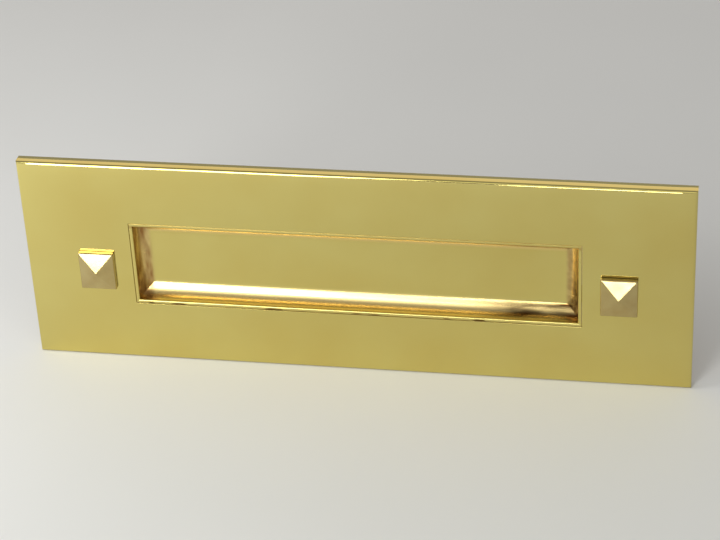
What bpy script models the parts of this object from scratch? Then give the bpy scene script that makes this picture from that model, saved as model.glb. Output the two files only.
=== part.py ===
"""Door letter plate: a brass plate whose recessed, sprung flap swings inward.

Frame: metres, +Z up. The plate's front faces -Y and Y = 0 is the face of the door
that its rim seats on, with the origin at the centre of that seat.
"""

import math

import bmesh
import bpy
from mathutils import Matrix, Vector

OBJECT_NAME = "letter_plate"
SIDES = (("left", -1.0), ("right", 1.0))
GAP = 0.0003

# Front plate
PLATE_WIDTH = 0.305
PLATE_HEIGHT = 0.102
PLATE_THICKNESS = 0.006
PLATE_EDGE_RADIUS = 0.0012
RIM_WIDTH = 0.007
HOLLOW_DEPTH = 0.0012
SLOT_WIDTH = 0.206
SLOT_HEIGHT = 0.0424
SLOT_DRAFT = 0.0014

# Flap: a pan pressed from sheet, with a quarter-round cove all round its flat face
FLAP_DEPTH = 0.008
FLAP_SHEET = 0.0016
FLAP_COVE_RADIUS = 0.0074
FLAP_RIM_SETBACK = 0.0005
COVE_SEGMENTS = 8

# Hinge
HINGE_Y = 0.0046
HINGE_Z = 0.025
ROD_RADIUS = 0.0015
ROD_HALF_LENGTH = 0.109
BORE_RADIUS = ROD_RADIUS + GAP
KNUCKLE_RADIUS = 0.0032
STRAP_CENTRE_X = 0.072
STRAP_WIDTH = 0.024
STRAP_THICKNESS = 0.0014
STRAP_BOTTOM_Z = -0.002
STRAP_SCREW_X = (0.066, 0.078)
STRAP_SCREW_Z = 0.004
BOSS_RADIUS = 0.0036

# Hinge brackets
BRACKET_INNER_X = 0.104
BRACKET_OUTER_X = 0.1125
BRACKET_BOTTOM_Z = 0.019
BRACKET_TOP_Z = 0.0435
BRACKET_THICKNESS = 0.0023
EAR_THICKNESS = 0.0025
EAR_RADIUS = 0.0045
BRACKET_SCREW_X = 0.1095
BRACKET_SCREW_Z = (0.0343, 0.0406)

# Rod clips
CLIP_RADIUS = 0.0029
CLIP_THICKNESS = 0.001
CLIP_MOUTH = 0.0024

# Torsion springs
SPRING_WIRE = 0.001
SPRING_RADIUS = 0.0032
SPRING_INNER_X = 0.086
SPRING_OUTER_X = 0.1
SPRING_TURNS = 5
SPRING_STEPS_PER_TURN = 14
SPRING_LIFT_ANGLE = math.radians(27.0)
SPRING_LEG_Z = 0.004

# Stop lugs on the flap and the buffers that they close on
LUG_INNER_X = 0.088
LUG_OUTER_X = 0.111
LUG_TOP_Z = -0.006
LUG_BOTTOM_Z = -0.014
LUG_THICKNESS = 0.0022
LUG_SINK = 0.0004
BUFFER_RADIUS = 0.0032
BUFFER_X = 0.1073

# Small screws, all M3
SCREW_RADIUS = 0.0015
SCREW_HEAD_RADIUS = 0.0028
SCREW_HEAD_HEIGHT = 0.0018
SCREW_SLOT_WIDTH = 0.0007
SCREW_SLOT_DEPTH = 0.0008
TAPPED_DEPTH = 0.0032

# Fixing studs, M6, with their pyramid heads, washers and nuts
FIXING_X = 0.1195
FIXING_Z = -0.0038
DOOR_THICKNESS = 0.044
STUD_RADIUS = 0.003
STUD_BACK_Y = 0.056
STUD_CHAMFER = 0.0005
STUD_HOLE_RADIUS = STUD_RADIUS + GAP
HEAD_WIDTH = 0.0166
HEAD_HEIGHT = 0.019
HEAD_SKIRT = 0.0020
HEAD_PEAK = 0.0026
HEAD_EDGE_RADIUS = 0.0005
HEAD_SOCKET_DEPTH = 0.0028
WASHER_RADIUS = 0.009
WASHER_THICKNESS = 0.0016
NUT_ACROSS_FLATS = 0.01
NUT_HEIGHT = 0.005

# Planes that follow from the sizes above
PLATE_INNER_Y = -HOLLOW_DEPTH
FLAP_FACE_Y = FLAP_DEPTH - PLATE_THICKNESS
FLAP_BACK_Y = FLAP_FACE_Y + FLAP_SHEET
FLAP_FRONT_Y = FLAP_RIM_SETBACK - PLATE_THICKNESS
FLAP_HALF_WIDTH = SLOT_WIDTH / 2 - GAP
FLAP_HALF_HEIGHT = SLOT_HEIGHT / 2 - GAP
STRAP_BACK_Y = HINGE_Y + KNUCKLE_RADIUS - 0.0001
STRAP_FRONT_Y = STRAP_BACK_Y - STRAP_THICKNESS
BOSS_BACK_Y = STRAP_FRONT_Y - GAP
BRACKET_FRONT_Y = PLATE_INNER_Y + GAP
BRACKET_BACK_Y = BRACKET_FRONT_Y + BRACKET_THICKNESS
LUG_FRONT_Y = FLAP_BACK_Y - LUG_SINK
HINGE_POINT = Vector((0.0, HINGE_Y, HINGE_Z))


def clear_scene():
    """Remove every object and collection that the file starts with."""
    for item in list(bpy.data.objects):
        bpy.data.objects.remove(item, do_unlink=True)
    for group in list(bpy.data.collections):
        bpy.data.collections.remove(group)


def make_collection(name):
    group = bpy.data.collections.new(name)
    bpy.context.scene.collection.children.link(group)
    return group


def make_material(name, colour, roughness, metallic):
    material = bpy.data.materials.new(name)
    material.use_nodes = True
    shader = material.node_tree.nodes["Principled BSDF"]
    shader.inputs["Base Color"].default_value = (*colour, 1.0)
    shader.inputs["Roughness"].default_value = roughness
    shader.inputs["Metallic"].default_value = metallic
    return material


clear_scene()
PARTS = make_collection(OBJECT_NAME)
CUTTERS = make_collection("cutters")

POLISHED_BRASS = make_material("polished_brass", (0.83, 0.70, 0.26), 0.08, 1.0)
SATIN_BRASS = make_material("satin_brass", (0.72, 0.60, 0.30), 0.28, 1.0)
ZINC_STEEL = make_material("zinc_steel", (0.62, 0.63, 0.64), 0.32, 1.0)
SPRING_STEEL = make_material("spring_steel", (0.38, 0.38, 0.40), 0.30, 1.0)
RUBBER = make_material("rubber", (0.02, 0.02, 0.02), 0.75, 0.0)

HINGE_AXIS = bpy.data.objects.new("flap_hinge_axis", None)
HINGE_AXIS.location = HINGE_POINT
PARTS.objects.link(HINGE_AXIS)


def add_box(bm, low, high):
    """Add a box between two opposite corners and return its vertices."""
    low = Vector(low)
    high = Vector(high)
    scale = Matrix.Diagonal((*(high - low), 1.0))
    matrix = Matrix.Translation((low + high) / 2) @ scale
    return bmesh.ops.create_cube(bm, size=1.0, matrix=matrix)["verts"]


def add_cylinder(bm, radius, start, end, segments=24):
    """Add a capped cylinder between two points."""
    start = Vector(start)
    end = Vector(end)
    direction = end - start
    turn = direction.to_track_quat("Z", "Y").to_matrix().to_4x4()
    matrix = Matrix.Translation((start + end) / 2) @ turn
    bmesh.ops.create_cone(
        bm,
        cap_ends=True,
        segments=segments,
        radius1=radius,
        radius2=radius,
        depth=direction.length,
        matrix=matrix,
    )


def round_edges(bm, wanted, radius, segments):
    """Round the edges that the test `wanted` picks."""
    bmesh.ops.bevel(
        bm,
        geom=[edge for edge in bm.edges if wanted(edge)],
        offset=radius,
        segments=segments,
        profile=0.5,
        affect="EDGES",
        material=-1,
    )


def finish_piece(name, bm, material, on_flap=False, origin=(0.0, 0.0, 0.0)):
    """Turn a bmesh in world coordinates into a named object with its own origin."""
    origin = HINGE_POINT if on_flap else Vector(origin)
    bmesh.ops.translate(bm, verts=bm.verts, vec=-origin)
    mesh = bpy.data.meshes.new(name)
    bm.to_mesh(mesh)
    bm.free()
    mesh.shade_smooth()
    mesh.set_sharp_from_angle(angle=math.radians(35.0))
    mesh.materials.append(material)
    piece = bpy.data.objects.new(name, mesh)
    PARTS.objects.link(piece)
    if on_flap:
        piece.parent = HINGE_AXIS
    else:
        piece.location = origin
    return piece


def finish_cutter(name, bm):
    """Turn a bmesh in world coordinates into a hidden tool body."""
    mesh = bpy.data.meshes.new(name)
    bm.to_mesh(mesh)
    bm.free()
    cutter = bpy.data.objects.new(name, mesh)
    cutter.hide_render = True
    cutter.display_type = "WIRE"
    CUTTERS.objects.link(cutter)
    return cutter


def apply_tool(piece, cutter, operation="DIFFERENCE"):
    modifier = piece.modifiers.new(cutter.name, "BOOLEAN")
    modifier.operation = operation
    modifier.solver = "EXACT"
    modifier.object = cutter


def cut_box(piece, label, low, high):
    bm = bmesh.new()
    add_box(bm, low, high)
    apply_tool(piece, finish_cutter(f"{piece.name}_{label}", bm))


def cut_bore(piece, label, radius, start, end):
    bm = bmesh.new()
    add_cylinder(bm, radius, start, end)
    apply_tool(piece, finish_cutter(f"{piece.name}_{label}", bm))


def join_box(piece, label, low, high):
    bm = bmesh.new()
    add_box(bm, low, high)
    apply_tool(piece, finish_cutter(f"{piece.name}_{label}", bm), "UNION")


def join_cylinder(piece, label, radius, start, end):
    bm = bmesh.new()
    add_cylinder(bm, radius, start, end)
    apply_tool(piece, finish_cutter(f"{piece.name}_{label}", bm), "UNION")


def make_turned(name, profile, material, location, on_flap=False):
    """Turn a profile of (radius, height) points, top to bottom, about an axis along +Y."""
    bm = bmesh.new()
    verts = [bm.verts.new((radius, 0.0, height)) for radius, height in profile]
    for first, second in zip(verts, verts[1:]):
        bm.edges.new((first, second))
    mesh = bpy.data.meshes.new(name)
    bm.to_mesh(mesh)
    bm.free()
    mesh.materials.append(material)
    piece = bpy.data.objects.new(name, mesh)
    PARTS.objects.link(piece)
    piece.rotation_euler = (-math.pi / 2, 0.0, 0.0)
    if on_flap:
        piece.parent = HINGE_AXIS
        piece.location = Vector(location) - HINGE_POINT
    else:
        piece.location = location
    screw = piece.modifiers.new("turn", "SCREW")
    screw.axis = "Z"
    screw.steps = 24
    screw.render_steps = 24
    screw.use_merge_vertices = True
    screw.merge_threshold = 0.00001
    screw.use_smooth_shade = True
    return piece


def span_x(side, inner, outer):
    """Return the low and high X of a stretch on one side of the middle."""
    return sorted((side * inner, side * outer))


def make_front_plate():
    bm = bmesh.new()
    half_width = PLATE_WIDTH / 2
    half_height = PLATE_HEIGHT / 2
    add_box(bm, (-half_width, -PLATE_THICKNESS, -half_height), (half_width, 0.0, half_height))
    front = -PLATE_THICKNESS / 2
    round_edges(bm, lambda edge: all(v.co.y < front for v in edge.verts), PLATE_EDGE_RADIUS, 4)
    plate = finish_piece("front_plate", bm, POLISHED_BRASS)

    hollow_x = half_width - RIM_WIDTH
    hollow_z = half_height - RIM_WIDTH
    cut_box(plate, "hollow", (-hollow_x, PLATE_INNER_Y, -hollow_z), (hollow_x, 0.001, hollow_z))
    cut_slot(plate)
    for label, side in SIDES:
        x = side * FIXING_X
        start = (x, -PLATE_THICKNESS - 0.001, FIXING_Z)
        cut_bore(plate, f"stud_hole_{label}", STUD_HOLE_RADIUS, start, (x, 0.001, FIXING_Z))
        for number, z in enumerate(BRACKET_SCREW_Z, start=1):
            x = side * BRACKET_SCREW_X
            start = (x, PLATE_INNER_Y - TAPPED_DEPTH, z)
            cut_bore(plate, f"tapped_{label}_{number}", BORE_RADIUS, start, (x, 0.001, z))


def cut_slot(plate):
    """Cut the slot, whose lower side falls away backward to clear the flap's swinging rim."""
    half_width = SLOT_WIDTH / 2
    half_height = SLOT_HEIGHT / 2
    overshoot = 0.001
    fall = SLOT_DRAFT * overshoot / PLATE_THICKNESS
    bm = bmesh.new()
    low = (-half_width, -PLATE_THICKNESS - overshoot, -half_height)
    verts = add_box(bm, low, (half_width, overshoot, half_height))
    for vert in verts:
        if vert.co.z < 0.0:
            vert.co.z += fall if vert.co.y < 0.0 else -SLOT_DRAFT - fall
    apply_tool(plate, finish_cutter("front_plate_slot", bm))


def make_flap():
    bm = bmesh.new()
    low = (-FLAP_HALF_WIDTH, FLAP_FRONT_Y, -FLAP_HALF_HEIGHT)
    add_box(bm, low, (FLAP_HALF_WIDTH, FLAP_BACK_Y, FLAP_HALF_HEIGHT))
    front = [face for face in bm.faces if face.normal.y < -0.5]
    bmesh.ops.delete(bm, geom=front, context="FACES")
    middle = (FLAP_FRONT_Y + FLAP_BACK_Y) / 2
    outer_radius = FLAP_COVE_RADIUS + FLAP_SHEET
    round_edges(bm, lambda edge: all(v.co.y > middle for v in edge.verts), outer_radius, COVE_SEGMENTS)
    flap = finish_piece("flap", bm, POLISHED_BRASS, on_flap=True)
    shell = flap.modifiers.new("sheet", "SOLIDIFY")
    shell.thickness = FLAP_SHEET
    shell.offset = -1.0
    shell.use_even_offset = True

    for label, side in SIDES:
        low_x, high_x = span_x(side, LUG_INNER_X, LUG_OUTER_X)
        back = LUG_FRONT_Y + LUG_THICKNESS
        join_box(flap, f"lug_{label}", (low_x, LUG_FRONT_Y, LUG_BOTTOM_Z), (high_x, back, LUG_TOP_Z))
        for number, screw_x in enumerate(STRAP_SCREW_X, start=1):
            x = side * screw_x
            tag = f"{label}_{number}"
            seat = (x, FLAP_BACK_Y - FLAP_SHEET / 2, STRAP_SCREW_Z)
            top = (x, BOSS_BACK_Y, STRAP_SCREW_Z)
            join_cylinder(flap, f"boss_{tag}", BOSS_RADIUS, seat, top)
            bottom = (x, BOSS_BACK_Y - TAPPED_DEPTH + GAP, STRAP_SCREW_Z)
            cut_bore(flap, f"tapped_{tag}", BORE_RADIUS, bottom, (x, BOSS_BACK_Y + 0.001, STRAP_SCREW_Z))


def make_flap_strap(label, side):
    """Make a leaf that is screwed to the flap and rolled round the hinge rod."""
    low_x, high_x = span_x(side, STRAP_CENTRE_X - STRAP_WIDTH / 2, STRAP_CENTRE_X + STRAP_WIDTH / 2)
    bm = bmesh.new()
    add_cylinder(bm, KNUCKLE_RADIUS, (low_x, HINGE_Y, HINGE_Z), (high_x, HINGE_Y, HINGE_Z), 32)
    strap = finish_piece(f"flap_strap_{label}", bm, POLISHED_BRASS, on_flap=True)
    join_box(strap, "leaf", (low_x, STRAP_FRONT_Y, STRAP_BOTTOM_Z), (high_x, STRAP_BACK_Y, HINGE_Z))
    beyond = 0.001
    start = (low_x - beyond, HINGE_Y, HINGE_Z)
    cut_bore(strap, "bore", BORE_RADIUS, start, (high_x + beyond, HINGE_Y, HINGE_Z))
    for number, screw_x in enumerate(STRAP_SCREW_X, start=1):
        x = side * screw_x
        start = (x, STRAP_FRONT_Y - beyond, STRAP_SCREW_Z)
        cut_bore(strap, f"hole_{number}", BORE_RADIUS, start, (x, STRAP_BACK_Y + beyond, STRAP_SCREW_Z))


def make_screw(name, under_head, shank, on_flap):
    """Make a slotted cheese-head screw whose head's underside stands at `under_head`."""
    bevel = 0.0003
    profile = [
        (0.0, SCREW_HEAD_HEIGHT),
        (SCREW_HEAD_RADIUS - bevel, SCREW_HEAD_HEIGHT),
        (SCREW_HEAD_RADIUS, SCREW_HEAD_HEIGHT - bevel),
        (SCREW_HEAD_RADIUS, 0.0),
        (SCREW_RADIUS, 0.0),
        (SCREW_RADIUS, -shank + bevel),
        (SCREW_RADIUS - bevel, -shank),
        (0.0, -shank),
    ]
    screw = make_turned(name, profile, ZINC_STEEL, under_head, on_flap)
    x, y, z = under_head
    top = y + SCREW_HEAD_HEIGHT
    reach = SCREW_HEAD_RADIUS + 0.001
    low = (x - reach, top - SCREW_SLOT_DEPTH, z - SCREW_SLOT_WIDTH / 2)
    cut_box(screw, "slot", low, (x + reach, top + 0.001, z + SCREW_SLOT_WIDTH / 2))


def make_strap_screws(label, side):
    under_head_y = STRAP_BACK_Y + GAP
    shank = under_head_y - (BOSS_BACK_Y - TAPPED_DEPTH + 2 * GAP)
    for number, screw_x in enumerate(STRAP_SCREW_X, start=1):
        place = (side * screw_x, under_head_y, STRAP_SCREW_Z)
        make_screw(f"strap_screw_{label}_{number}", place, shank, on_flap=True)


def make_hinge_rod():
    bm = bmesh.new()
    start = (-ROD_HALF_LENGTH, HINGE_Y, HINGE_Z)
    add_cylinder(bm, ROD_RADIUS, start, (ROD_HALF_LENGTH, HINGE_Y, HINGE_Z))
    finish_piece("hinge_rod", bm, ZINC_STEEL, origin=HINGE_POINT)


def make_rod_clip(label, side):
    """Make an open clip that keeps the rod from sliding out of its bracket."""
    inner_x = BRACKET_INNER_X + EAR_THICKNESS + GAP
    low_x, high_x = span_x(side, inner_x, inner_x + CLIP_THICKNESS)
    bm = bmesh.new()
    add_cylinder(bm, CLIP_RADIUS, (low_x, HINGE_Y, HINGE_Z), (high_x, HINGE_Y, HINGE_Z))
    clip = finish_piece(f"rod_clip_{label}", bm, SPRING_STEEL, origin=(low_x, HINGE_Y, HINGE_Z))
    beyond = 0.001
    start = (low_x - beyond, HINGE_Y, HINGE_Z)
    cut_bore(clip, "bore", BORE_RADIUS, start, (high_x + beyond, HINGE_Y, HINGE_Z))
    half_mouth = CLIP_MOUTH / 2
    low = (low_x - beyond, HINGE_Y - half_mouth, HINGE_Z)
    high = (high_x + beyond, HINGE_Y + half_mouth, HINGE_Z + CLIP_RADIUS + beyond)
    cut_box(clip, "mouth", low, high)


def make_hinge_bracket(label, side):
    """Make a foot on the plate's back with an ear that carries the rod."""
    foot_x = span_x(side, BRACKET_INNER_X, BRACKET_OUTER_X)
    ear_x = span_x(side, BRACKET_INNER_X, BRACKET_INNER_X + EAR_THICKNESS)
    bm = bmesh.new()
    low = (foot_x[0], BRACKET_FRONT_Y, BRACKET_BOTTOM_Z)
    add_box(bm, low, (foot_x[1], BRACKET_BACK_Y, BRACKET_TOP_Z))
    bracket = finish_piece(f"hinge_bracket_{label}", bm, ZINC_STEEL)
    low = (ear_x[0], BRACKET_FRONT_Y + BRACKET_THICKNESS / 2, HINGE_Z - EAR_RADIUS)
    join_box(bracket, "ear", low, (ear_x[1], HINGE_Y, HINGE_Z + EAR_RADIUS))
    start = (ear_x[0], HINGE_Y, HINGE_Z)
    join_cylinder(bracket, "ear_end", EAR_RADIUS, start, (ear_x[1], HINGE_Y, HINGE_Z))
    beyond = 0.001
    start = (ear_x[0] - beyond, HINGE_Y, HINGE_Z)
    cut_bore(bracket, "bore", BORE_RADIUS, start, (ear_x[1] + beyond, HINGE_Y, HINGE_Z))
    for number, z in enumerate(BRACKET_SCREW_Z, start=1):
        x = side * BRACKET_SCREW_X
        start = (x, BRACKET_FRONT_Y - beyond, z)
        cut_bore(bracket, f"hole_{number}", BORE_RADIUS, start, (x, BRACKET_BACK_Y + beyond, z))


def make_bracket_screws(label, side):
    under_head_y = BRACKET_BACK_Y + GAP
    shank = under_head_y - (PLATE_INNER_Y - TAPPED_DEPTH + GAP)
    for number, z in enumerate(BRACKET_SCREW_Z, start=1):
        place = (side * BRACKET_SCREW_X, under_head_y, z)
        make_screw(f"bracket_screw_{label}_{number}", place, shank, on_flap=False)


def spring_path(side):
    """Return a torsion spring's centre line, from the leg on the flap to the leg on the plate."""
    wire_radius = SPRING_WIRE / 2
    turn_total = 2 * math.pi * SPRING_TURNS + SPRING_LIFT_ANGLE
    steps = SPRING_STEPS_PER_TURN * SPRING_TURNS + 1
    flap_leg_y = FLAP_BACK_Y + GAP + wire_radius
    path = [Vector((side * SPRING_INNER_X, flap_leg_y, SPRING_LEG_Z))]
    for step in range(steps + 1):
        share = step / steps
        angle = share * turn_total
        x = SPRING_INNER_X + share * (SPRING_OUTER_X - SPRING_INNER_X)
        y = HINGE_Y + SPRING_RADIUS * math.cos(angle)
        z = HINGE_Z + SPRING_RADIUS * math.sin(angle)
        path.append(Vector((side * x, y, z)))
    leaving = path[-1]
    plate_leg_y = PLATE_INNER_Y + GAP + wire_radius
    length = (leaving.y - plate_leg_y) / math.sin(SPRING_LIFT_ANGLE)
    direction = Vector((0.0, -math.sin(SPRING_LIFT_ANGLE), math.cos(SPRING_LIFT_ANGLE)))
    path.append(leaving + length * direction)
    return path


def make_flap_spring(label, side):
    curve = bpy.data.curves.new(f"flap_spring_{label}", "CURVE")
    curve.dimensions = "3D"
    curve.bevel_depth = SPRING_WIRE / 2
    curve.bevel_resolution = 2
    curve.use_fill_caps = True
    path = spring_path(side)
    spline = curve.splines.new("POLY")
    spline.points.add(len(path) - 1)
    for point, place in zip(spline.points, path):
        point.co = (*(place - HINGE_POINT), 1.0)
    curve.materials.append(SPRING_STEEL)
    spring = bpy.data.objects.new(f"flap_spring_{label}", curve)
    spring.location = HINGE_POINT
    PARTS.objects.link(spring)


def make_buffer_pad(label, side):
    x = side * BUFFER_X
    z = (LUG_TOP_Z + LUG_BOTTOM_Z) / 2
    bm = bmesh.new()
    start = (x, PLATE_INNER_Y + GAP, z)
    add_cylinder(bm, BUFFER_RADIUS, start, (x, LUG_FRONT_Y - GAP, z))
    finish_piece(f"buffer_pad_{label}", bm, RUBBER, origin=start)


def make_pyramid_head(label, side):
    """Make a square decorative head: a low skirt with a shallow pyramid in front."""
    x = side * FIXING_X
    base_y = -PLATE_THICKNESS - GAP
    skirt_y = base_y - HEAD_SKIRT
    bm = bmesh.new()
    low = (x - HEAD_WIDTH / 2, skirt_y, FIXING_Z - HEAD_HEIGHT / 2)
    add_box(bm, low, (x + HEAD_WIDTH / 2, base_y, FIXING_Z + HEAD_HEIGHT / 2))
    front = [face for face in bm.faces if face.normal.y < -0.5]
    bmesh.ops.poke(bm, faces=front, offset=HEAD_PEAK)
    round_edges(bm, lambda edge: all(v.co.y < base_y - 0.001 for v in edge.verts), HEAD_EDGE_RADIUS, 2)
    origin = (x, base_y, FIXING_Z)
    head = finish_piece(f"pyramid_head_{label}", bm, SATIN_BRASS, origin=origin)
    bottom = (x, base_y - HEAD_SOCKET_DEPTH, FIXING_Z)
    cut_bore(head, "socket", STUD_HOLE_RADIUS, bottom, (x, base_y + 0.001, FIXING_Z))


def make_fixing_stud(label, side):
    front_y = -PLATE_THICKNESS - HEAD_SOCKET_DEPTH
    length = STUD_BACK_Y - front_y
    profile = [
        (0.0, length),
        (STUD_RADIUS - STUD_CHAMFER, length),
        (STUD_RADIUS, length - STUD_CHAMFER),
        (STUD_RADIUS, STUD_CHAMFER),
        (STUD_RADIUS - STUD_CHAMFER, 0.0),
        (0.0, 0.0),
    ]
    location = (side * FIXING_X, front_y, FIXING_Z)
    make_turned(f"fixing_stud_{label}", profile, ZINC_STEEL, location)


def make_stud_washer(label, side):
    x = side * FIXING_X
    front_y = DOOR_THICKNESS + GAP
    back_y = front_y + WASHER_THICKNESS
    bm = bmesh.new()
    add_cylinder(bm, WASHER_RADIUS, (x, front_y, FIXING_Z), (x, back_y, FIXING_Z), 32)
    washer = finish_piece(f"stud_washer_{label}", bm, ZINC_STEEL, origin=(x, front_y, FIXING_Z))
    start = (x, front_y - 0.001, FIXING_Z)
    cut_bore(washer, "bore", STUD_HOLE_RADIUS, start, (x, back_y + 0.001, FIXING_Z))


def make_stud_nut(label, side):
    x = side * FIXING_X
    front_y = DOOR_THICKNESS + WASHER_THICKNESS + 2 * GAP
    back_y = front_y + NUT_HEIGHT
    across_corners = NUT_ACROSS_FLATS / math.cos(math.pi / 6)
    bm = bmesh.new()
    add_cylinder(bm, across_corners / 2, (x, front_y, FIXING_Z), (x, back_y, FIXING_Z), 6)
    nut = finish_piece(f"stud_nut_{label}", bm, ZINC_STEEL, origin=(x, front_y, FIXING_Z))
    start = (x, front_y - 0.001, FIXING_Z)
    cut_bore(nut, "bore", STUD_HOLE_RADIUS, start, (x, back_y + 0.001, FIXING_Z))


make_front_plate()
make_flap()
make_hinge_rod()
for side_label, side_sign in SIDES:
    make_flap_strap(side_label, side_sign)
    make_strap_screws(side_label, side_sign)
    make_rod_clip(side_label, side_sign)
    make_hinge_bracket(side_label, side_sign)
    make_bracket_screws(side_label, side_sign)
    make_flap_spring(side_label, side_sign)
    make_buffer_pad(side_label, side_sign)
    make_pyramid_head(side_label, side_sign)
    make_fixing_stud(side_label, side_sign)
    make_stud_washer(side_label, side_sign)
    make_stud_nut(side_label, side_sign)
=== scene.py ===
"""Brass door letter plate with a recessed, sprung flap, on a pale floor.

Frame: metres, +Z up. The plate's front faces -Y, and Y = 0 is the door's face.
"""

import logging
import math
from dataclasses import dataclass, field
from enum import Enum
from functools import partial
from typing import Callable, Iterable, Sequence

import bmesh
import bpy
from bmesh.types import BMEdge, BMesh, BMFace, BMVert
from bpy.types import Material, Node, NodeSocket, NodeTree, Object
from mathutils import Matrix, Quaternion, Vector


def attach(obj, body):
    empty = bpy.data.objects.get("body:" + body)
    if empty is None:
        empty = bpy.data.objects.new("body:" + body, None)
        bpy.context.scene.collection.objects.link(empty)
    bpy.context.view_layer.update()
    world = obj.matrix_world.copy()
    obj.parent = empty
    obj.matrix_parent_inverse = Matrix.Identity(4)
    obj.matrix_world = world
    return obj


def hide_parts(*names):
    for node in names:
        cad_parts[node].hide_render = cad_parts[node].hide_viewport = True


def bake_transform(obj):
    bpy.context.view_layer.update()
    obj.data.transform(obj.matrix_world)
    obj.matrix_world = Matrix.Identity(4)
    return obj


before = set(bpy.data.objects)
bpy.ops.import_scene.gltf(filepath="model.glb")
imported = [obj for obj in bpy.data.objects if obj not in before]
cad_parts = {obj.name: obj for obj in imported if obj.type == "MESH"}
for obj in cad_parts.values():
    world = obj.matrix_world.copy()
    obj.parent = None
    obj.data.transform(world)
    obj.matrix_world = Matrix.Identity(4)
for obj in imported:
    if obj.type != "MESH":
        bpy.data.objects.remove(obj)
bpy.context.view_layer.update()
LOG = logging.getLogger("letter_plate")

# Two places closer than this, in metres, are the same place.
TOUCH = 1e-5
# A cutting tool reaches this far past what it cuts, in metres.
OVERRUN = 0.001
# An edge runs along an axis when its ends are further apart than this, in metres.
LONG = 1e-4

Point = Sequence[float]
Span = tuple[float, float]
EdgeTest = Callable[[BMEdge], bool]


class Side(Enum):
    """The two ends of the plate, as seen from the front."""

    LEFT = -1.0
    RIGHT = 1.0

    @property
    def label(self) -> str:
        """Return the word that the piece names use."""
        return self.name.lower()


class Body(Enum):
    """The two bodies that pieces ride on."""

    PLATE = "plate"
    FLAP = "flap"


class Cut(Enum):
    """How a tool body changes a piece."""

    REMOVE = "DIFFERENCE"
    KEEP_INSIDE = "INTERSECT"


# ---------------------------------------------------------------- mesh workbench


def add_block(bm: BMesh, low: Point, high: Point) -> list[BMVert]:
    """Add a box between two opposite corners.

    Args:
        bm: The mesh that the box is added to.
        low: The lowest corner.
        high: The highest corner.

    Returns:
        The box's eight vertices.
    """
    low, high = Vector(low), Vector(high)
    matrix = Matrix.Translation((low + high) / 2) @ Matrix.Diagonal((*(high - low), 1.0))
    return bmesh.ops.create_cube(bm, size=1.0, matrix=matrix)["verts"]


def add_rod(bm: BMesh, radius: float, start: Point, end: Point, segments: int = 48) -> None:
    """Add a capped cylinder between two points.

    Args:
        bm: The mesh that the cylinder is added to.
        radius: Its radius.
        start: The centre of its first end.
        end: The centre of its other end.
        segments: How many sides it has.
    """
    start, end = Vector(start), Vector(end)
    turn = (end - start).to_track_quat("Z", "Y").to_matrix().to_4x4()
    bmesh.ops.create_cone(
        bm, cap_ends=True, segments=segments, radius1=radius, radius2=radius,
        depth=(end - start).length, matrix=Matrix.Translation((start + end) / 2) @ turn,
    )


def round_edges(bm: BMesh, wanted: EdgeTest, radius: float, segments: int) -> None:
    """Round the edges that a test picks.

    Args:
        bm: The mesh to work on.
        wanted: The test for an edge.
        radius: The radius of the rounding.
        segments: How many faces go round it.
    """
    bmesh.ops.bevel(
        bm, geom=[edge for edge in bm.edges if wanted(edge)], offset=radius, segments=segments,
        profile=0.5, affect="EDGES", material=-1,
    )


def turned(bm: BMesh, profile: Iterable[Span], centre: Point, steps: int = 48) -> None:
    """Turn a profile round an axis along +Y.

    Args:
        bm: The mesh that the turned shape is added to.
        profile: Pairs of radius and Y, measured from the centre.
        centre: The point that the profile is measured from.
        steps: How many steps go round.
    """
    centre = Vector(centre)
    points = [bm.verts.new(centre + Vector((radius, y, 0.0))) for radius, y in profile]
    edges = [bm.edges.new(pair) for pair in zip(points, points[1:])]
    bmesh.ops.spin(
        bm, geom=points + edges, cent=centre, axis=(0.0, 1.0, 0.0), angle=2 * math.pi,
        steps=steps, use_merge=True,
    )
    bmesh.ops.remove_doubles(bm, verts=bm.verts, dist=1e-6)


def sharp_edge(degrees: float = 30.0) -> EdgeTest:
    """Return a test for edges whose faces meet at more than an angle."""
    limit = math.radians(degrees)
    return lambda edge: len(edge.link_faces) == 2 and edge.calc_face_angle(0.0) > limit


def both_ends(test: Callable[[BMVert], bool]) -> EdgeTest:
    """Return a test for edges whose two ends both pass a test."""
    return lambda edge: all(map(test, edge.verts))


def edges_at(axis: int, place: float, along: int) -> EdgeTest:
    """Return a test for edges that lie at a place on one axis and run along another.

    Args:
        axis: The number of the axis that the place is measured on.
        place: The place on it.
        along: The number of the axis that the edges run along.

    Returns:
        The test.
    """
    at_place = both_ends(lambda vert: abs(vert.co[axis] - place) < TOUCH)
    return lambda edge: at_place(edge) and abs(edge.verts[0].co[along] - edge.verts[1].co[along]) > LONG


def near_middle(face: BMFace, half_x: float, half_z: float) -> bool:
    """Tell whether a face's centre lies nearer the middle than a half width and a half height."""
    centre = face.calc_center_median()
    return abs(centre.x) < half_x and abs(centre.z) < half_z


def score(bm: BMesh, axis: int, places: Iterable[float]) -> None:
    """Cut a mesh's faces along planes that stand across one axis.

    Args:
        bm: The mesh to work on.
        axis: The number of the axis.
        places: Where the planes cross it.
    """
    normal = Vector([float(number == axis) for number in range(3)])
    for place in places:
        geometry = [*bm.verts, *bm.edges, *bm.faces]
        bmesh.ops.bisect_plane(bm, geom=geometry, plane_co=normal * place, plane_no=normal, dist=1e-7)


def push(bm: BMesh, geometry: Iterable[object], run: Point) -> None:
    """Move the vertices among some geometry by a run."""
    bmesh.ops.translate(bm, vec=run, verts=[item for item in geometry if isinstance(item, BMVert)])


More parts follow.
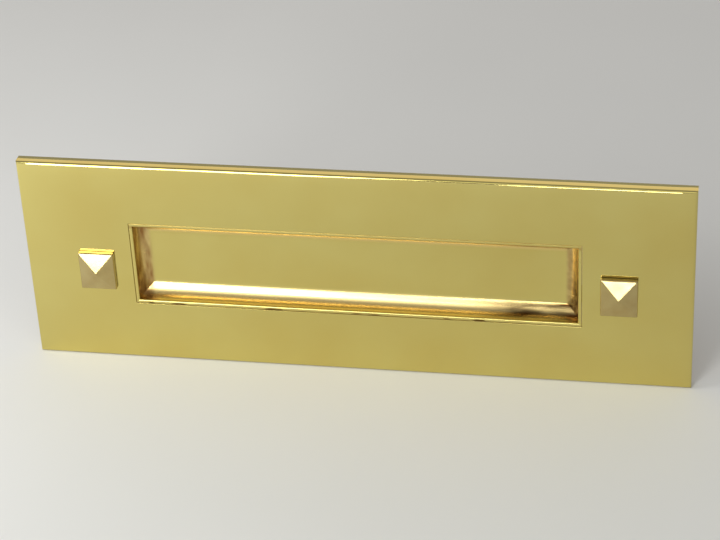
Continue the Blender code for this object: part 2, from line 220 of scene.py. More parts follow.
def draw_out(bm: BMesh, faces: list[BMFace], run: Point) -> None:
    """Draw faces out by a run, with walls behind them.

    Args:
        bm: The mesh to work on.
        faces: The faces to draw out.
        run: How far and which way they go.
    """
    moved = bmesh.ops.extrude_face_region(bm, geom=faces)["geom"]
    bmesh.ops.delete(bm, geom=faces, context="FACES")
    push(bm, moved, run)


def finish_piece(
    name: str,
    bm: BMesh,
    body: Body | None,
    finishes: "Sequence[Finish]",
    replaces: Sequence[str] = (),
    soften: float = 35.0,
) -> Object:
    """Turn a mesh in world coordinates into a piece that rides on a body.

    Args:
        name: The piece's name.
        bm: Its mesh, which is freed.
        body: The body that it rides on, or None for a piece that is attached to neither body.
        finishes: Its finishes, in the order of the faces' material numbers.
        replaces: The names of the solids that it stands for.
        soften: The angle in degrees under which neighbouring faces shade smoothly.

    Returns:
        The new object, which sits at the origin.
    """
    bmesh.ops.recalc_face_normals(bm, faces=bm.faces)
    marked = [edge.index for edge in bm.edges if not edge.smooth]
    mesh = bpy.data.meshes.new(name)
    bm.to_mesh(mesh)
    bm.free()
    mesh.shade_smooth()
    mesh.set_sharp_from_angle(angle=math.radians(soften))
    for number in marked:
        mesh.edges[number].use_edge_sharp = True
    for finish in finishes:
        mesh.materials.append(finish.material())
    piece = bpy.data.objects.new(name, mesh)
    bpy.context.scene.collection.objects.link(piece)
    if body:
        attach(piece, body.value)
    if replaces:
        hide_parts(*replaces)
    return piece


def cut_mesh(bm: BMesh, tool: BMesh, how: Cut = Cut.REMOVE) -> BMesh:
    """Cut one mesh with another.

    Args:
        bm: The mesh that is cut, which is freed.
        tool: The tool body, which is freed.
        how: Whether the tool's inside is taken away or kept.

    Returns:
        The mesh that is left.
    """
    objects = []
    for source in (bm, tool):
        bmesh.ops.recalc_face_normals(source, faces=source.faces)
        mesh = bpy.data.meshes.new("bench")
        source.to_mesh(mesh)
        source.free()
        objects.append(bpy.data.objects.new("bench", mesh))
        bpy.context.scene.collection.objects.link(objects[-1])
    work, cutter = objects
    modifier = work.modifiers.new("cut", "BOOLEAN")
    modifier.operation = how.value
    modifier.solver = "EXACT"
    modifier.object = cutter
    depsgraph = bpy.context.evaluated_depsgraph_get()
    result = bmesh.new()
    result.from_mesh(work.evaluated_get(depsgraph).to_mesh())
    for item in objects:
        mesh = item.data
        bpy.data.objects.remove(item, do_unlink=True)
        bpy.data.meshes.remove(mesh)
    return result


def mirror_to(bm: BMesh, side: Side) -> None:
    """Turn a mesh that was made for the right end into the one for a side.

    Args:
        bm: The mesh to turn.
        side: The side that it is for.
    """
    if side is Side.LEFT:
        bmesh.ops.scale(bm, vec=(-1.0, 1.0, 1.0), verts=bm.verts)
        bmesh.ops.reverse_faces(bm, faces=bm.faces)


# ---------------------------------------------------------------- finishes


def linear(code: str) -> tuple[float, float, float, float]:
    """Turn an sRGB hex colour into linear RGBA."""
    parts = [int(code[place : place + 2], 16) / 255 for place in (1, 3, 5)]
    return (*(c / 12.92 if c <= 0.04045 else ((c + 0.055) / 1.055) ** 2.4 for c in parts), 1.0)


def add_node(tree: NodeTree, kind: str, inputs: dict | None = None, **settings) -> Node:
    """Add one node.

    Args:
        tree: The node tree that it joins.
        kind: The node's type, without its ShaderNode prefix.
        inputs: Values for its sockets, or other nodes' outputs to link to them.
        **settings: The node's own options.

    Returns:
        The new node.
    """
    node = tree.nodes.new(f"ShaderNode{kind}")
    for key, value in settings.items():
        setattr(node, key, value)
    for key, value in (inputs or {}).items():
        if isinstance(value, NodeSocket):
            tree.links.new(value, node.inputs[key])
        else:
            node.inputs[key].default_value = value
    return node


@dataclass(frozen=True)
class Cloud:
    """A soft mottled pattern: the size of its patches in metres, and its lows and highs."""

    size: float
    low: float = 0.0
    high: float = 1.0
    detail: float = 3.0
    stretch: Point = (1.0, 1.0, 1.0)


@dataclass(frozen=True)
class Finish:
    """A surface finish that makes its material once.

    Its colour drifts between two tints in patches, its grain is its roughness, and its
    waves and its grain raise the surface by their reliefs, in metres.
    """

    name: str
    slot: str = ""
    metallic: float = 1.0
    tints: tuple[str, str] = ("#FFFFFF", "#FFFFFF")
    patches: Cloud = Cloud(0.01)
    grain: Cloud = Cloud(0.001)
    waves: Cloud = Cloud(0.01, detail=1.0)
    wave_relief: float = 0.0
    grain_relief: float = 0.0

    def material(self) -> Material:
        """Return the finish's material, made on first use.

        Returns:
            The material.
        """
        found = bpy.data.materials.get(self.name)
        if found:
            return found
        material = bpy.data.materials.new(self.name)
        material.use_nodes = True
        tree = material.node_tree
        tree.nodes.clear()
        shader = add_node(tree, "BsdfPrincipled", {"Metallic": self.metallic})
        add_node(tree, "OutputMaterial", {"Surface": shader.outputs["BSDF"]})
        self.dress(tree, shader)
        return material

    def dress(self, tree: NodeTree, shader: Node) -> None:
        """Give the shader its colour, roughness and relief.

        Args:
            tree: The node tree.
            shader: The Principled shader.
        """
        colour = self.blend(tree, self.cloud(tree, self.patches), *self.tints)
        grain = self.cloud(tree, self.grain)
        colour, roughness = self.age(tree, colour, grain)
        tree.links.new(colour, shader.inputs["Base Color"])
        tree.links.new(roughness, shader.inputs["Roughness"])
        under = None
        if self.wave_relief:
            under = self.bump(tree, shader, self.cloud(tree, self.waves), self.wave_relief)
        if self.grain_relief:
            self.bump(tree, shader, grain, self.grain_relief, under)

    def age(self, tree: NodeTree, colour: NodeSocket, haze: NodeSocket) -> tuple[NodeSocket, NodeSocket]:
        """Return the colour and the roughness as they are where nothing has marked the finish."""
        return colour, haze

    @staticmethod
    def place(tree: NodeTree, stretch: Point = (1.0, 1.0, 1.0)) -> NodeSocket:
        """Return object coordinates in metres, stretched for a drawn-out pattern."""
        coords = add_node(tree, "TexCoord").outputs["Object"]
        return add_node(tree, "Mapping", {"Vector": coords, "Scale": tuple(stretch)}).outputs["Vector"]

    def cloud(self, tree: NodeTree, pattern: Cloud) -> NodeSocket:
        """Draw a mottled pattern.

        Args:
            tree: The node tree.
            pattern: The pattern.

        Returns:
            The socket that carries it.
        """
        inputs = {"Vector": self.place(tree, pattern.stretch), "Scale": 1.0 / pattern.size}
        noise = add_node(tree, "TexNoise", inputs | {"Detail": pattern.detail}).outputs["Fac"]
        inputs = {"Value": noise, "From Min": 0.3, "From Max": 0.7}
        inputs |= {"To Min": pattern.low, "To Max": pattern.high}
        return add_node(tree, "MapRange", inputs).outputs["Result"]

    @staticmethod
    def step(tree: NodeTree, value: NodeSocket, start: float, end: float) -> NodeSocket:
        """Return a share that eases from 0 at the start value to 1 at the end value."""
        inputs = {"Value": value, "From Min": start, "From Max": end}
        return add_node(tree, "MapRange", inputs, interpolation_type="SMOOTHSTEP").outputs["Result"]

    @staticmethod
    def maths(tree: NodeTree, operation: str, *values: object) -> NodeSocket:
        """Return the result of one arithmetic step on numbers or sockets."""
        return add_node(tree, "Math", dict(enumerate(values)), operation=operation).outputs[0]

    @staticmethod
    def blend(tree: NodeTree, share: NodeSocket, first: object, second: object) -> NodeSocket:
        """Mix two colours by a share, each one a hex code or a socket."""
        first, second = (linear(c) if isinstance(c, str) else c for c in (first, second))
        return add_node(tree, "Mix", {0: share, 6: first, 7: second}, data_type="RGBA").outputs[2]

    @staticmethod
    def bump(
        tree: NodeTree, shader: Node, height: NodeSocket, depth: float, under: NodeSocket | None = None
    ) -> NodeSocket:
        """Raise the shader's surface.

        Args:
            tree: The node tree.
            shader: The Principled shader.
            height: The pattern that raises it.
            depth: How far, in metres.
            under: The normal of a relief that lies under this one.

        Returns:
            The socket that carries the new normal.
        """
        inputs = {"Height": height, "Distance": depth, "Strength": 1.0}
        if under is not None:
            inputs["Normal"] = under
        normal = add_node(tree, "Bump", inputs).outputs["Normal"]
        tree.links.new(normal, shader.inputs["Normal"])
        return normal


@dataclass(frozen=True)
class PolishedBrass(Finish):
    """Mirror-polished brass, buffed along its length.

    It gives the eye a clear yellow mirror that drifts slowly between two yellows, with slight
    waves and with fine buffing lines that blur it a little.
    """

    tints: tuple[str, str] = ("#D8CA7D", "#D3C172")
    patches: Cloud = Cloud(0.045)
    grain: Cloud = Cloud(0.0011, 0.035, 0.075, 4.0, (0.04, 1.0, 1.0))
    waves: Cloud = Cloud(0.03, detail=1.0)
    wave_relief: float = 0.00006
    grain_relief: float = 0.00001


@dataclass(frozen=True)
class RecessBrass(PolishedBrass):
    """The same brass in the recess, where the cloth doesn't reach and brown tarnish stays, with painted dark
    reflections and painted shade.
    """

    cove_metal: str = "#E7CE8C"
    # Brown for the tarnish and painted reflection mottled down the cove ends, and for the painted shade
    # lines.
    stain: str = "#8A5527"
    # Colour of the painted dark reflection along the right part of the lower cove.
    soot: str = "#4A3417"
    # Colour of the small dark spots along the lower lip.
    dark_spot: str = "#66491F"
    cove_x: Span = (0.0946, 0.0970)
    cove_z: Span = (0.0128, 0.0148)
    cove_haze: float = 0.2
    inside_y: Span = (-0.0052, -0.0046)
    # Where along X the painted dark reflection starts, its share in the side coves, and its streak pattern.
    stain_x: Span = (0.048, 0.078)
    side_soot: float = 0.5
    streaks: Cloud = Cloud(0.0026, 0.35, 1.0, 2.0, (0.16, 1.0, 1.0))
    # Pattern and left-to-right lean of the brown mottling, partly tarnish and partly painted reflection.
    mottle: Cloud = Cloud(0.0028, 0.1, 0.85, 2.0, (1.0, 1.0, 0.25))
    mottle_lean: Span = (-2.75, 0.725)
    # Share and bands of the painted shade under the upper lip and in the groove round the flap.
    painted_shade: float = 0.35
    painted_shade_z: Span = (0.0183, 0.0190)
    grime_top_z: Span = (0.0204, 0.0199)
    groove_shade_z: Span = (0.0208, 0.0210)
    groove_shade_x: Span = (0.1026, 0.1028)
    lip_z: Span = (0.0199, 0.0206)
    lip_y: Span = (-0.0035, -0.0045)
    # Size and threshold of the small dark spots along the lower lip.
    nicks_per_metre: float = 210.0
    dark_spot_level: Span = (0.60, 0.68)

    def age(self, tree: NodeTree, colour: NodeSocket, haze: NodeSocket) -> tuple[NodeSocket, NodeSocket]:
        """Dull the coves, paint tarnish and dark reflections into their ends, paint shade lines, and spot the
        lower lip.

        Args:
            tree: The node tree.
            colour: The clean brass's colour.
            haze: Its roughness.

        Returns:
            The colour, with its tarnish, spots and painted light, and the roughness.
        """
        product, most = partial(self.maths, tree, "MULTIPLY"), partial(self.maths, tree, "MAXIMUM")
        size = partial(self.maths, tree, "ABSOLUTE")
        ease, mix = partial(self.step, tree), partial(self.blend, tree)
        axes = add_node(tree, "SeparateXYZ", {"Vector": self.place(tree)})
        along, depth, up = (axes.outputs[name] for name in "XYZ")
        down = product(up, -1.0)
        sides = ease(size(along), *self.cove_x)
        edge = most(sides, ease(size(up), *self.cove_z))
        haze = self.maths(tree, "ADD", haze, product(edge, self.cove_haze))
        inside = ease(depth, *self.inside_y)
        colour = mix(product(edge, inside), colour, self.cove_metal)
        # Painted dark reflection: dark streaks along the right part of the lower cove, and fainter in the
        # right cove, where the coves mirror dark surroundings.
        low = most(ease(down, *self.cove_z), product(sides, self.side_soot))
        foot = product(product(low, ease(along, *self.stain_x)), self.cloud(tree, self.streaks))
        colour = mix(product(foot, inside), colour, self.soot)
        # Brown mottling down the ends, heavier at the left one: partly tarnish, partly painted reflection of
        # brass in the corners.
        lean = self.maths(tree, "MULTIPLY_ADD", along, *self.mottle_lean)
        end = product(product(product(sides, lean), inside), self.cloud(tree, self.mottle))
        colour = mix(end, colour, self.stain)
        # Painted shade: thin dark lines under the upper lip and in the groove round the flap, where shade
        # falls.
        under = product(ease(up, *self.painted_shade_z), ease(up, *self.grime_top_z))
        groove = most(ease(size(up), *self.groove_shade_z), ease(size(along), *self.groove_shade_x))
        colour = mix(product(most(under, groove), self.painted_shade), colour, self.stain)
        # Small dark spots along the lower lip, where it closes on the slot.
        lip = product(ease(down, *self.lip_z), ease(depth, *self.lip_y))
        inputs = {"Vector": self.place(tree, (0.5, 1.0, 1.0)), "Scale": self.nicks_per_metre, "Detail": 1.0}
        spots = add_node(tree, "TexNoise", inputs).outputs["Fac"]
        dark_spots = product(lip, ease(spots, *self.dark_spot_level))
        return mix(dark_spots, colour, self.dark_spot), haze


@dataclass(frozen=True)
class SatinBrass(Finish):
    """Lacquered brass, rubbed with a fine abrasive.

    It gives the eye a soft gold sheen with fine rubbing lines, and the clear lacquer over it
    catches the light in white.
    """

    tints: tuple[str, str] = ("#C0AD72", "#B0975A")
    patches: Cloud = Cloud(0.007, high=0.8)
    grain: Cloud = Cloud(0.0004, 0.17, 0.24, 4.0, (1.0, 1.0, 0.08))
    waves: Cloud = Cloud(0.004, detail=1.0)
    wave_relief: float = 0.000015
    lacquer: float = 1.0
    lacquer_roughness: float = 0.12

    def dress(self, tree: NodeTree, shader: Node) -> None:
        """Give the shader the rubbed brass and its lacquer.

        Args:
            tree: The node tree.
            shader: The Principled shader.
        """
        super().dress(tree, shader)
        shader.inputs["Coat Weight"].default_value = self.lacquer
        shader.inputs["Coat Roughness"].default_value = self.lacquer_roughness


@dataclass(frozen=True)
class CastBrass(Finish):
    """Unpolished brass as it leaves the mould: a sandy, dull, mottled brown-yellow skin."""

    tints: tuple[str, str] = ("#DCC283", "#BE9E60")
    patches: Cloud = Cloud(0.009, high=0.8, detail=7.0)
    grain: Cloud = Cloud(0.0011, 0.38, 0.62, 5.0)
    grain_relief: float = 0.00035


@dataclass(frozen=True)
class ZincPlate(Finish):
    """Bright zinc plate on steel: a grey sheen with a blue and yellow cast and fine spangle."""

    tints: tuple[str, str] = ("#C6CCD0", "#CFC9B4")
    patches: Cloud = Cloud(0.005)
    grain: Cloud = Cloud(0.0009, 0.24, 0.36, 4.0)
    grain_relief: float = 0.00001


@dataclass(frozen=True)
class OiledSteel(Finish):
    """Drawn spring steel under a thin film of oil: dark grey wire with brown stains."""

    tints: tuple[str, str] = ("#77777B", "#4A4238")
    patches: Cloud = Cloud(0.003, high=0.9)
    grain: Cloud = Cloud(0.0012, 0.2, 0.4)


@dataclass(frozen=True)
class BufferRubber(Finish):
    """Moulded rubber: a matt black with a faint grey bloom on its skin."""

    tints: tuple[str, str] = ("#1C1B1A", "#3A3836")
    patches: Cloud = Cloud(0.0022, high=0.7)
    grain: Cloud = Cloud(0.0004, 0.6, 0.8)
    grain_relief: float = 0.0001


@dataclass(frozen=True)
class StudioFloor(Finish):
    """A plain, even, matt floor."""

    tints: tuple[str, str] = ("#E5E6E4", "#E0E1DF")
    patches: Cloud = Cloud(0.35)
    roughness: float = 0.75

    def dress(self, tree: NodeTree, shader: Node) -> None:
        """Give the shader a pale ground with one roughness.

        Args:
            tree: The node tree.
            shader: The Principled shader.
        """
        drift = self.cloud(tree, self.patches)
        tree.links.new(self.blend(tree, drift, *self.tints), shader.inputs["Base Color"])
        shader.inputs["Roughness"].default_value = self.roughness


PLATE_BRASS = PolishedBrass("plate_brass", "polished_brass")
FLAP_BRASS = RecessBrass("recess_brass", "polished_brass")
HEAD_BRASS = SatinBrass("head_brass", "satin_brass")
RAW_BRASS = CastBrass("raw_brass", "polished_brass")
ZINC = ZincPlate("bright_zinc", "zinc_steel")
SPRING_WIRE = OiledSteel("oiled_steel", "spring_steel")
RUBBER = BufferRubber("buffer_rubber", "rubber", metallic=0.0)
FLOOR = StudioFloor("studio_floor", metallic=0.0)


# ---------------------------------------------------------------- the plate


@dataclass
class FrontPlate:
    """The visible plate: a flat slab with a slot, hollowed at the back inside a rim."""

    width: float = 0.305
    height: float = 0.102
    thickness: float = 0.006
    edge_radius: float = 0.0012
    rim: float = 0.007
    hollow: float = 0.0012
    slot_width: float = 0.206
    slot_height: float = 0.0424
    slot_draft: float = 0.0014
    slot_edge: float = 0.00018
    stud_x: float = 0.1195
    stud_z: float = -0.0038
    stud_hole: float = 0.0033
    back_edge: float = 0.0003
    cast_inset: float = 0.001

    def build(self) -> Object:
        """Make the plate.

        Returns:
            The plate.
        """
        bm = bmesh.new()
        half_x, half_z = self.width / 2, self.height / 2
        add_block(bm, (-half_x, -self.thickness, -half_z), (half_x, 0.0, half_z))
        rim_x, rim_z = half_x - self.rim, half_z - self.rim
        for axis, places in ((0, (self.slot_width / 2, rim_x)), (2, (self.slot_height / 2, rim_z))):
            score(bm, axis, [sign * place for place in places for sign in (-1, 1)])
        back = [f for f in bm.faces if f.normal.y > 0.5 and near_middle(f, rim_x, rim_z)]
        draw_out(bm, back, (0.0, -self.hollow, 0.0))
        self.open_slot(bm)
        front = -self.thickness + TOUCH
        flat_x, flat_z = half_x - TOUCH, half_z - TOUCH
        outer = both_ends(lambda v: v.co.y < front and (abs(v.co.x) > flat_x or abs(v.co.z) > flat_z))
        round_edges(bm, outer, self.edge_radius, 8)
        slot_x, slot_z = self.slot_width / 2 + TOUCH, self.slot_height / 2 + TOUCH
        inner = both_ends(lambda v: v.co.y < front and abs(v.co.x) < slot_x and abs(v.co.z) < slot_z)
        round_edges(bm, inner, self.slot_edge, 4)
        sharp, at_back = sharp_edge(), both_ends(lambda v: v.co.y > -TOUCH)
        round_edges(bm, lambda edge: at_back(edge) and sharp(edge), self.back_edge, 2)
        bm = self.drill(bm)
        hollow_y, cast_x, cast_z = -self.hollow - TOUCH, half_x - self.cast_inset, half_z - self.cast_inset
        for face in bm.faces:
            deep = face.calc_center_median().y > hollow_y
            face.material_index = int(face.normal.y > 0.2 or (deep and near_middle(face, cast_x, cast_z)))
        return finish_piece("letter_plate_front", bm, Body.PLATE, [PLATE_BRASS, RAW_BRASS], ["front_plate"])

    def open_slot(self, bm: BMesh) -> None:
        """Open the slot and let its lower side fall away backward.

        Args:
            bm: The plate's mesh.
        """
        half_x, half_z = self.slot_width / 2, self.slot_height / 2
        lids = [f for f in bm.faces if abs(f.normal.y) > 0.5 and near_middle(f, half_x - LONG, half_z - LONG)]
        rims = [edge for face in lids for edge in face.edges]
        bmesh.ops.delete(bm, geom=lids, context="FACES_ONLY")
        bmesh.ops.bridge_loops(bm, edges=rims)
        depth = 1.0 - self.hollow / self.thickness
        for vert in bm.verts:
            at_slot = abs(vert.co.x) < half_x + TOUCH and abs(vert.co.z + half_z) < TOUCH
            if at_slot and abs(vert.co.y + self.hollow) < TOUCH:
                vert.co.z -= self.slot_draft * depth

    def drill(self, bm: BMesh) -> BMesh:
        """Drill the two stud holes.

        Args:
            bm: The plate's mesh, which is freed.

        Returns:
            The drilled mesh.
        """
        drills = bmesh.new()
        for side in Side:
            x = side.value * self.stud_x
            start = (x, -self.thickness - OVERRUN, self.stud_z)
            add_rod(drills, self.stud_hole, start, (x, OVERRUN, self.stud_z))
        return cut_mesh(bm, drills)


@dataclass
class RecessedFlap:
    """The flap: a pan whose flat face sits deep in the slot, with a cove all round."""

    half_width: float = 0.10288
    half_height: float = 0.02108
    front_y: float = -0.0058
    face_y: float = 0.002
    sheet: float = 0.0016
    cove: float = 0.0074
    lip_outer: float = 0.00012
    lip_inner: float = 0.0005
    boss_radius: float = 0.0036
    boss_x: Span = (0.066, 0.078)
    boss_z: float = 0.004
    boss_back: float = 0.006
    lug_x: Span = (0.088, 0.111)
    lug_z: Span = (-0.014, -0.006)
    lug_y: Span = (0.0032, 0.0054)

    def build(self) -> list[Object]:
        """Return the pan, and its bosses and lugs."""
        return [self.pan(), self.fittings()]

    def pan(self) -> Object:
        """Make the coved pan.

        Returns:
            The pan.
        """
        bm = bmesh.new()
        back_y = self.face_y + self.sheet
        size_x, size_z = self.half_width, self.half_height
        add_block(bm, (-size_x, self.front_y, -size_z), (size_x, back_y, size_z))
        bmesh.ops.delete(bm, geom=[f for f in bm.faces if f.normal.y < -0.5], context="FACES")
        middle = (self.front_y + back_y) / 2
        round_edges(bm, both_ends(lambda v: v.co.y > middle), self.cove + self.sheet, 28)
        bmesh.ops.recalc_face_normals(bm, faces=bm.faces)
        bmesh.ops.solidify(bm, geom=list(bm.faces), thickness=self.sheet)
        self.mark_mitres(bm)
        bmesh.ops.recalc_face_normals(bm, faces=bm.faces)
        lip, sharp = self.front_y + TOUCH, sharp_edge(60)
        edge_x, edge_z = size_x - self.sheet / 2, size_z - self.sheet / 2
        inner = both_ends(lambda v: v.co.y < lip and abs(v.co.x) < edge_x and abs(v.co.z) < edge_z)
        outer = both_ends(lambda v: v.co.y < lip and (abs(v.co.x) > edge_x or abs(v.co.z) > edge_z))
        round_edges(bm, lambda edge: inner(edge) and sharp(edge), self.lip_inner, 6)
        round_edges(bm, lambda edge: outer(edge) and sharp(edge), self.lip_outer, 3)
        for face in bm.faces:
            centre = face.calc_center_median()
            inward = face.normal.x * -centre.x + face.normal.z * -centre.z
            polished = face.normal.y < -1e-3 or (abs(face.normal.y) <= 1e-3 and inward > 0.0)
            face.material_index = int(not polished)
        return finish_piece("flap_pan", bm, Body.FLAP, [FLAP_BRASS, RAW_BRASS], ["flap"])

    def mark_mitres(self, bm: BMesh) -> None:
        """Keep the four mitre lines crisp.

        Args:
            bm: The pan's mesh.
        """
        lead = self.half_width - self.half_height
        on_mitre = both_ends(lambda v: abs(lead - abs(v.co.x) + abs(v.co.z)) < 2 * TOUCH)
        for edge in filter(on_mitre, bm.edges):
            edge.smooth = False

    def fittings(self) -> Object:
        """Make the four screw bosses and the two stop lugs on the pan's back.

        Returns:
            The bosses and lugs as one piece.
        """
        bm = bmesh.new()
        root_y = self.face_y + self.sheet / 2
        for side in Side:
            for x in self.boss_x:
                profile = [
                    (0.0, root_y), (self.boss_radius + 0.0006, root_y),
                    (self.boss_radius + 0.0006, self.face_y + self.sheet + 0.0001),
                    (self.boss_radius, self.face_y + self.sheet + 0.0009),
                    (self.boss_radius, self.boss_back - 0.0003),
                    (self.boss_radius - 0.0003, self.boss_back), (0.0, self.boss_back),
                ]
                turned(bm, profile, (side.value * x, 0.0, self.boss_z))
            low_x, high_x = sorted(side.value * x for x in self.lug_x)
            lug = bmesh.new()
            add_block(lug, (low_x, self.lug_y[0], self.lug_z[0]), (high_x, self.lug_y[1], self.lug_z[1]))
            round_edges(lug, edges_at(0, side.value * self.lug_x[1], 1), 0.002, 8)
            round_edges(lug, sharp_edge(50), 0.0002, 2)
            mesh = bpy.data.meshes.new("bench")
            lug.to_mesh(mesh)
            lug.free()
            bm.from_mesh(mesh)
            bpy.data.meshes.remove(mesh)
        return finish_piece("flap_bosses_and_lugs", bm, Body.FLAP, [RAW_BRASS])


@dataclass
class Screw:
    """A slotted cheese-head screw along +Y."""

    radius: float = 0.0015
    head_radius: float = 0.0028
    head_height: float = 0.0018
    slot_width: float = 0.0007
    slot_depth: float = 0.0008

    def build(self, node: str, under_head: Point, shank: float, body: Body, turn: float) -> Object:
        """Make one screw.

        Args:
            node: The solid that it stands for.
            under_head: The centre of its head's underside.
            shank: The length of its shank.
            body: The body that it rides on.
            turn: The angle of its slot in degrees.

        Returns:
            The screw.
        """
        head, top = self.head_radius, self.head_height
        bm = bmesh.new()
        profile = [
            (0.0, top), (head * 0.45, top - 0.00002), (head - 0.0005, top - 0.0001),
            (head - 0.0002, top - 0.00025), (head, top - 0.0005), (head, 0.0001), (head - 0.0001, 0.0),
            (self.radius, 0.0), (self.radius, 0.0003 - shank), (self.radius - 0.0003, -shank), (0.0, -shank),
        ]
        turned(bm, profile, (0.0, 0.0, 0.0), 40)
        groove = bmesh.new()
        reach = head + OVERRUN
        low = (-reach, top - self.slot_depth, -self.slot_width / 2)
        add_block(groove, low, (reach, top + OVERRUN, self.slot_width / 2))
        bm = cut_mesh(bm, groove)
        bmesh.ops.rotate(bm, matrix=Matrix.Rotation(math.radians(turn), 3, "Y"), verts=bm.verts)
        bmesh.ops.translate(bm, vec=Vector(under_head), verts=bm.verts)
        return finish_piece(f"{node}_slotted", bm, body, [ZINC], [node])


@dataclass
class Hinge:
    """The rod, the brackets that carry it, its clips, and the straps that are rolled round it."""

    axis_y: float = 0.0046
    axis_z: float = 0.025
    rod_radius: float = 0.0015
    rod_half: float = 0.109
    bore: float = 0.0018
    strap_x: Span = (0.060, 0.084)
    strap_back: float = 0.0077
    strap_sheet: float = 0.0013
    strap_foot_z: float = -0.002
    strap_corner: float = 0.003
    strap_roll: float = math.radians(298.0)
    bracket_x: Span = (0.104, 0.1125)
    bracket_y: Span = (-0.0009, 0.0014)
    bracket_z: Span = (0.019, 0.0435)
    bracket_corner: float = 0.002
    ear: float = 0.0025
    ear_radius: float = 0.0045
    clip_radius: float = 0.0029
    clip_mouth: float = 0.0024
    clip_sheet: float = 0.001
    screw: Screw = field(default_factory=Screw)
    strap_shank: float = 0.0046
    bracket_shank: float = 0.0058
    play: float = 0.0003
    # Each screw's X, its Z and its slot's angle in degrees.
    strap_screws: tuple[Point, ...] = ((0.066, 0.004, 24.0), (0.078, 0.004, -52.0))
    bracket_screws: tuple[Point, ...] = ((0.1095, 0.0343, 71.0), (0.1095, 0.0406, 12.0))

    def build(self) -> list[Object]:
        """Make the hinge.

        Returns:
            All its pieces.
        """
        pieces = [self.rod()]
        for side in Side:
            pieces += [self.strap(side), self.bracket(side), self.clip(side)]
            pieces += self.screws(side)
        return pieces

    def rod(self) -> Object:
        """Make the chamfered rod.

        Returns:
            The rod.
        """
        bm = bmesh.new()
        start = (-self.rod_half, self.axis_y, self.axis_z)
        add_rod(bm, self.rod_radius, start, (self.rod_half, self.axis_y, self.axis_z), 40)
        round_edges(bm, sharp_edge(60), 0.0003, 2)
        return finish_piece("hinge_rod_ground", bm, Body.PLATE, [ZINC], ["hinge_rod"])

    def strap(self, side: Side) -> Object:
        """Make a leaf whose top is rolled round the rod.

        Args:
            side: The end that it belongs to.

        Returns:
            The leaf.
        """
        bm = bmesh.new()
        foot = [bm.verts.new((x, self.strap_back, self.strap_foot_z)) for x in self.strap_x]
        raised = bmesh.ops.extrude_edge_only(bm, edges=[bm.edges.new(foot)])["geom"]
        push(bm, raised, (0.0, 0.0, self.axis_z - self.strap_foot_z))
        top = [item for item in raised if isinstance(item, BMVert)]
        line = [item for item in raised if isinstance(item, BMEdge) and all(v in top for v in item.verts)]
        bmesh.ops.spin(
            bm, geom=top + line, cent=(0.0, self.axis_y, self.axis_z), axis=(1.0, 0.0, 0.0),
            angle=self.strap_roll, steps=44,
        )
        bmesh.ops.remove_doubles(bm, verts=bm.verts, dist=1e-7)
        bmesh.ops.recalc_face_normals(bm, faces=bm.faces)
        leaf = max(bm.faces, key=lambda f: f.calc_area())
        thickness = self.strap_sheet if leaf.normal.y > 0 else -self.strap_sheet
        bmesh.ops.solidify(bm, geom=list(bm.faces), thickness=thickness)
        round_edges(bm, edges_at(2, self.strap_foot_z, 1), self.strap_corner, 8)
        bmesh.ops.recalc_face_normals(bm, faces=bm.faces)
        round_edges(bm, sharp_edge(50), 0.00018, 2)
        mirror_to(bm, side)
        node = f"flap_strap_{side.label}"
        return finish_piece(f"{node}_rolled", bm, Body.FLAP, [RAW_BRASS], [node])

    def bracket(self, side: Side) -> Object:
        """Make a foot with a round-ended ear.

        Args:
            side: The end that it belongs to.

        Returns:
            The bracket.
        """
        low_x, high_x = self.bracket_x
        low_y, high_y = self.bracket_y
        bm = bmesh.new()
        add_block(bm, (low_x, low_y, self.bracket_z[0]), (high_x, high_y, self.bracket_z[1]))
        ear_x = low_x + self.ear
        ear_z = (self.axis_z - self.ear_radius, self.axis_z + self.ear_radius)
        score(bm, 0, [ear_x])
        score(bm, 2, ear_z)
        seat = []
        for face in bm.faces:
            centre = face.calc_center_median()
            if face.normal.y > 0.5 and centre.x < ear_x and ear_z[0] < centre.z < ear_z[1]:
                seat.append(face)
        tip = self.axis_y + self.ear_radius
        draw_out(bm, seat, (0.0, tip - high_y, 0.0))
        round_edges(bm, edges_at(1, tip, 0), self.ear_radius - 1e-6, 16)
        round_edges(bm, edges_at(0, high_x, 1), self.bracket_corner, 8)
        bmesh.ops.remove_doubles(bm, verts=bm.verts, dist=4e-6)
        bmesh.ops.recalc_face_normals(bm, faces=bm.faces)
        round_edges(bm, sharp_edge(50), 0.0002, 2)
        drill = bmesh.new()
        start = (low_x - OVERRUN, self.axis_y, self.axis_z)
        add_rod(drill, self.bore, start, (ear_x + OVERRUN, self.axis_y, self.axis_z), 40)
        bm = cut_mesh(bm, drill)
        mirror_to(bm, side)
        node = f"hinge_bracket_{side.label}"
        return finish_piece(f"{node}_pressed", bm, Body.PLATE, [ZINC], [node])

